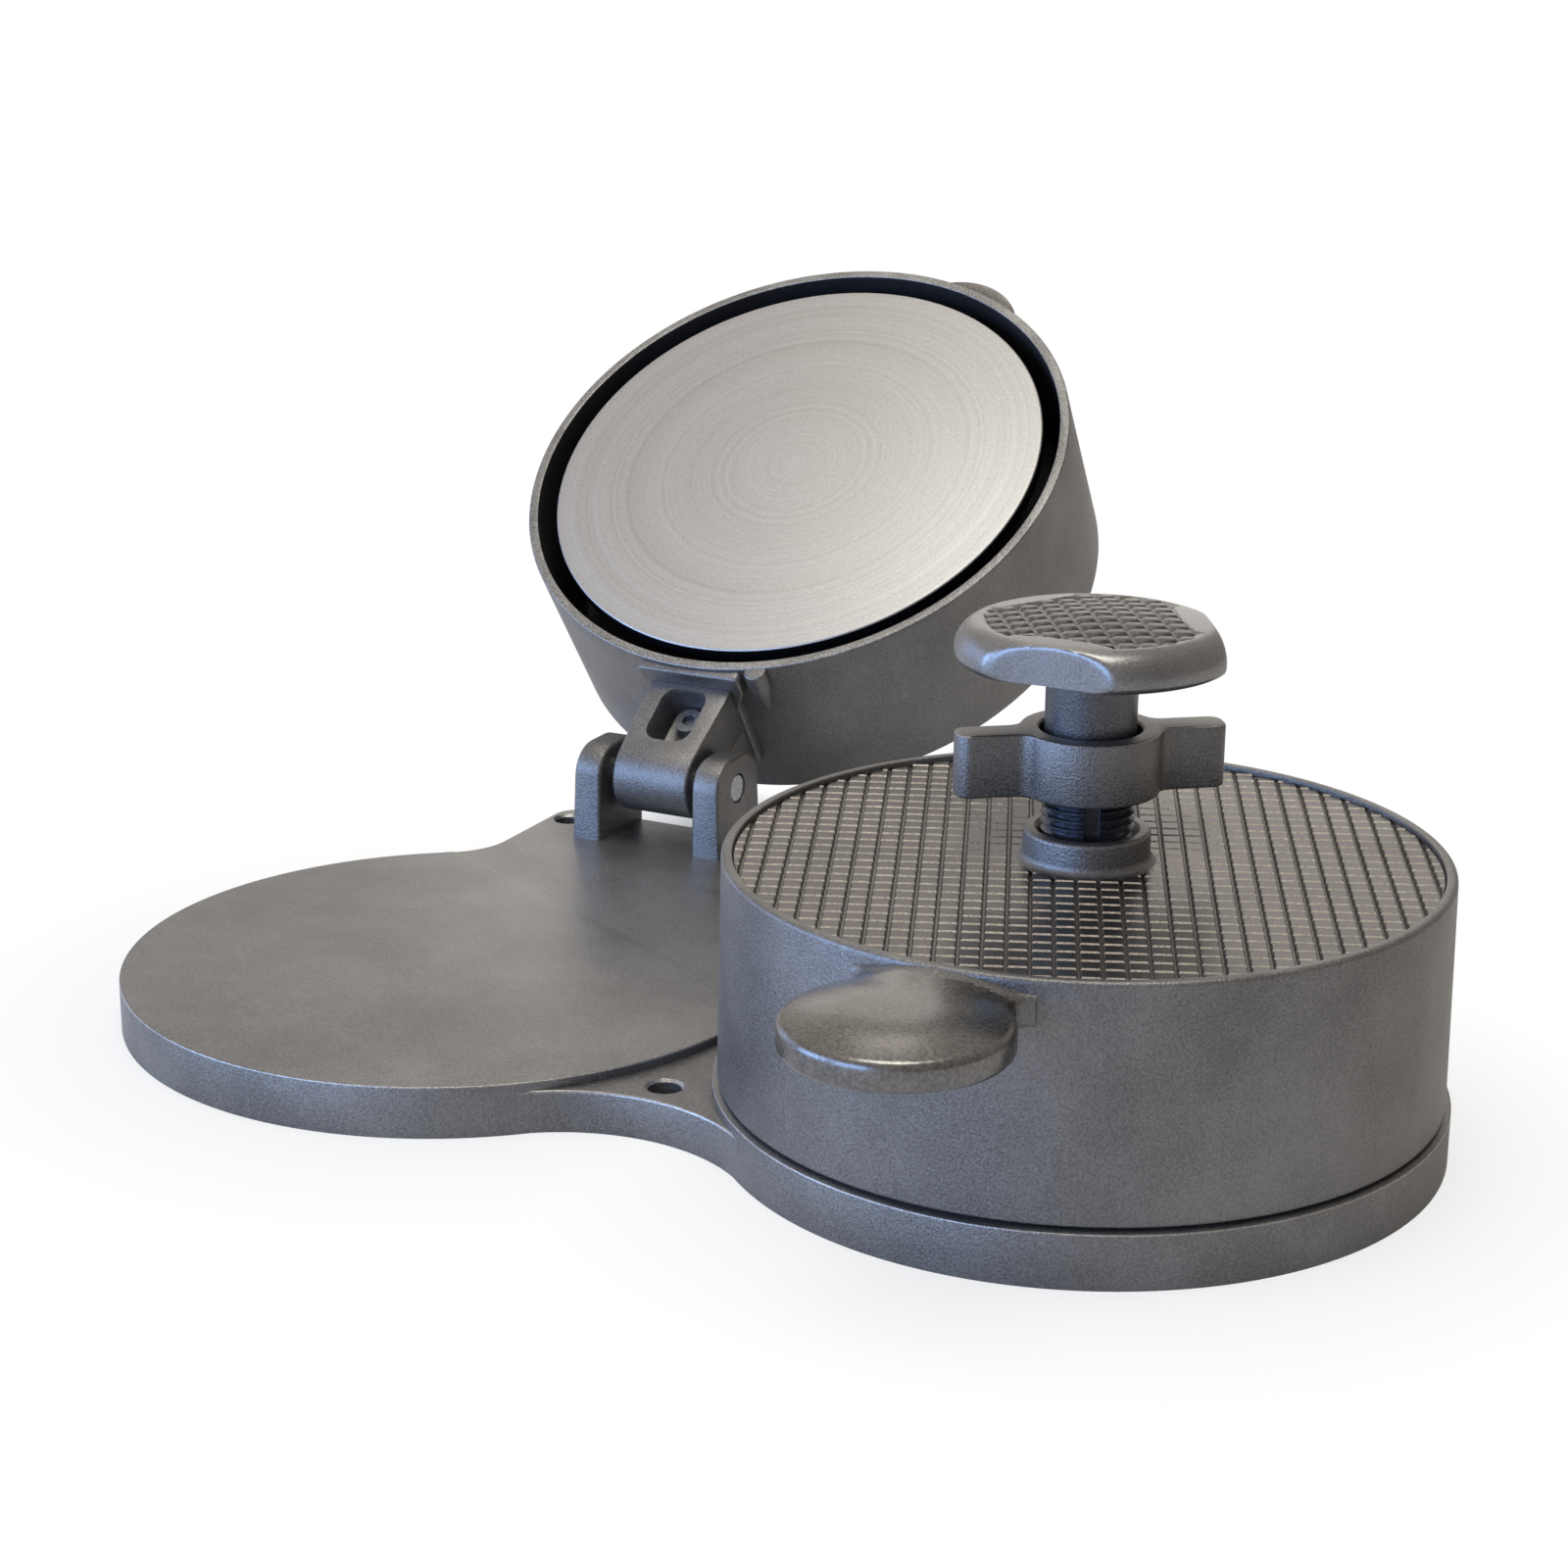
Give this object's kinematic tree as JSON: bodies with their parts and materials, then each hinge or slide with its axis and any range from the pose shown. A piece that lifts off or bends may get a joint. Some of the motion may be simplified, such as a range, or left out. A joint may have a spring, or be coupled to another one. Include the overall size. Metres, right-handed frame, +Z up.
{
  "type": "twin burger press",
  "caption": "Twin hand press on one base: hinged cups with sliding plungers, stroke-limiting wing nuts and round press plates.",
  "frame": {"origin": "on the underside of the base, midway between the two disc axes", "axes": "+X from the left press to the right press, +Y from the grip tabs to the hinges, +Z up"},
  "size_m": [0.239, 0.3189, 0.1101],
  "materials": {
    "dark_casting": "satin dark grey hard-coated casting",
    "steel": "plain steel",
    "bright_steel": "ground bright pin",
    "black_steel": "dark blued, glossy on the thread",
    "plate_metal": "satin light grey, finely turned"
  },
  "bodies": {
    "base": {"base": "dark_casting", "left_hinge_pin": "bright_steel", "right_hinge_pin": "bright_steel"},
    "left_lid": {"left_mould_cup": "dark_casting", "left_hinge_arm": "dark_casting", "left_arm_screw": "steel"},
    "left_plunger": {"left_press_plate": "plate_metal", "left_plate_lock_nut": "steel", "left_plunger_stem": "black_steel", "left_plunger_knob": "dark_casting"},
    "left_nut": {"left_wing_nut": "dark_casting"},
    "right_lid": {"right_mould_cup": "dark_casting", "right_hinge_arm": "dark_casting", "right_arm_screw": "steel"},
    "right_plunger": {"right_press_plate": "plate_metal", "right_plate_lock_nut": "steel", "right_plunger_stem": "black_steel", "right_plunger_knob": "dark_casting"},
    "right_nut": {"right_wing_nut": "dark_casting"}
  },
  "joints": [
    {"name": "left_lid_hinge", "type": "hinge", "parent": "base", "child": "left_lid", "pos_m": [-0.0596, 0.0783, 0.0216], "axis": [-1, 0, 0], "range_deg": [-145, 0]},
    {"name": "right_lid_hinge", "type": "hinge", "parent": "base", "child": "right_lid", "pos_m": [0.0596, 0.0783, 0.0216], "axis": [-1, 0, 0], "range_deg": [0, 145]},
    {"name": "left_plunger_slide", "type": "slide", "parent": "left_lid", "child": "left_plunger", "axis": [0, -0.5736, 0.8192], "range_m": [-0.0215, 0]},
    {"name": "right_plunger_slide", "type": "slide", "parent": "right_lid", "child": "right_plunger", "axis": [0, 0, -1], "range_m": [-0.0215, 0]},
    {"name": "left_nut_turn", "type": "hinge", "parent": "left_plunger", "child": "left_nut", "pos_m": [-0.0596, 0.16447, 0.03506], "axis": [0, 0.5736, -0.8192], "continuous": true},
    {"name": "right_nut_turn", "type": "hinge", "parent": "right_plunger", "child": "right_nut", "pos_m": [0.0596, 0, 0.06], "axis": [0, 0, 1], "continuous": true}
  ]
}
